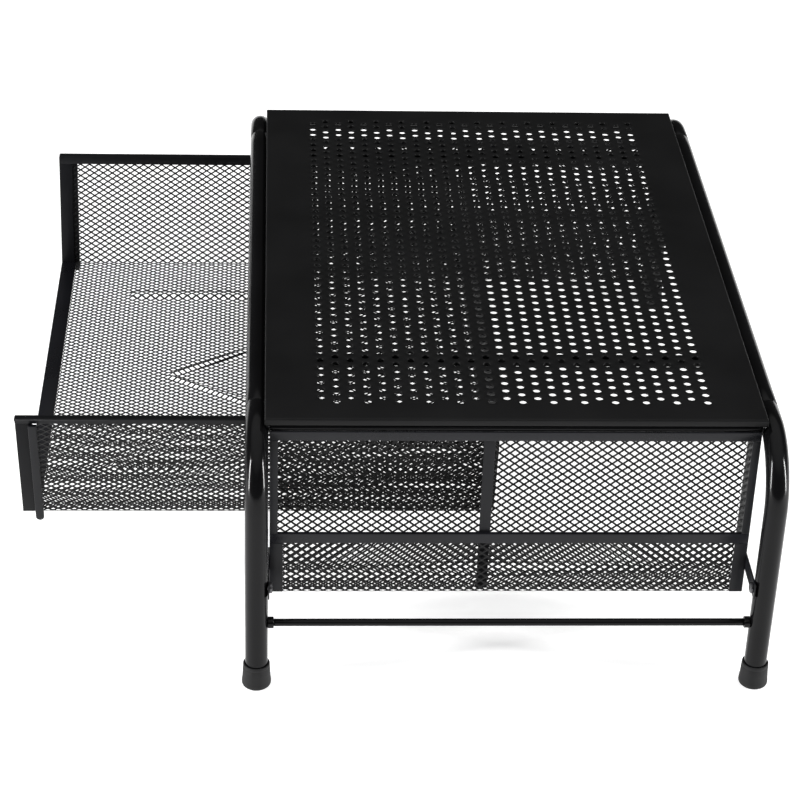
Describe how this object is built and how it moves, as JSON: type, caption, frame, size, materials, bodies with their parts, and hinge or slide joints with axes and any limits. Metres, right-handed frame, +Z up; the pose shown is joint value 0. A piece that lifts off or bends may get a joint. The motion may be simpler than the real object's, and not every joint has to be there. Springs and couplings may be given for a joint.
{
  "type": "monitor riser stand",
  "caption": "Raised perforated deck on bent-tube legs with mesh side trays and a sliding mesh drawer under it, for holding a display above a desk.",
  "frame": {"origin": "on the desk, at the centre of the four feet", "axes": "+Z up; +X to the user's right, along the deck's long side; the drawer opens towards -Y, the user"},
  "size_m": [0.4296, 0.3998, 0.152],
  "materials": {
    "deck_steel": "satin black powder coat",
    "tube_steel": "gloss black enamel",
    "sheet_steel": "semi-gloss black",
    "mesh_steel": "black powder coat on expanded mesh",
    "runner_steel": "satin black",
    "screw_steel": "black zinc",
    "foot_rubber": "matte"
  },
  "bodies": {
    "stand": {"top_panel": "deck_steel", "deck_rib_right": "deck_steel", "deck_rib_left": "deck_steel", "front_top_tube": "tube_steel", "rear_top_tube": "tube_steel", "leg_front_right": "tube_steel", "leg_front_left": "tube_steel", "leg_rear_right": "tube_steel", "leg_rear_left": "tube_steel", "foot_front_right": "foot_rubber", "foot_front_left": "foot_rubber", "foot_rear_right": "foot_rubber", "foot_rear_left": "foot_rubber", "upper_rod_right": "tube_steel", "lower_rod_right": "tube_steel", "upper_rod_left": "tube_steel", "lower_rod_left": "tube_steel", "rod_collars": "tube_steel", "right_tray_floor": "mesh_steel", "right_tray_back": "mesh_steel", "right_tray_lip": "mesh_steel", "right_tray_lip_rail": "sheet_steel", "right_tray_front_rim": "sheet_steel", "right_tray_back_rim": "sheet_steel", "right_tray_front_end": "mesh_steel", "right_tray_rear_end": "mesh_steel", "right_tray_corner_bands": "sheet_steel", "right_tray_divider": "mesh_steel", "right_tray_divider_edge": "sheet_steel", "runner_right": "runner_steel", "left_tray_floor": "mesh_steel", "left_tray_back": "mesh_steel", "left_tray_lip": "mesh_steel", "left_tray_lip_rail": "sheet_steel", "left_tray_front_rim": "sheet_steel", "left_tray_back_rim": "sheet_steel", "left_tray_front_end": "mesh_steel", "left_tray_rear_end": "mesh_steel", "left_tray_corner_bands": "sheet_steel", "left_tray_divider": "mesh_steel", "left_tray_divider_edge": "sheet_steel", "runner_left": "runner_steel", "leg_straps": "sheet_steel", "strap_screws": "screw_steel", "runner_hangers": "runner_steel", "runner_stops": "runner_steel"},
    "drawer": {"drawer_floor": "mesh_steel", "drawer_front_strip": "sheet_steel", "drawer_right_side": "mesh_steel", "drawer_right_front_band": "sheet_steel", "drawer_right_rim": "sheet_steel", "drawer_right_post": "sheet_steel", "drawer_left_side": "mesh_steel", "drawer_left_front_band": "sheet_steel", "drawer_left_rim": "sheet_steel", "drawer_left_post": "sheet_steel", "drawer_rear": "mesh_steel", "drawer_rear_rim": "sheet_steel", "drawer_stop_tabs": "runner_steel"}
  },
  "joints": [
    {"name": "drawer_slide", "type": "slide", "parent": "stand", "child": "drawer", "axis": [0, -1, 0], "range_m": [-0.13, 0.058]}
  ]
}
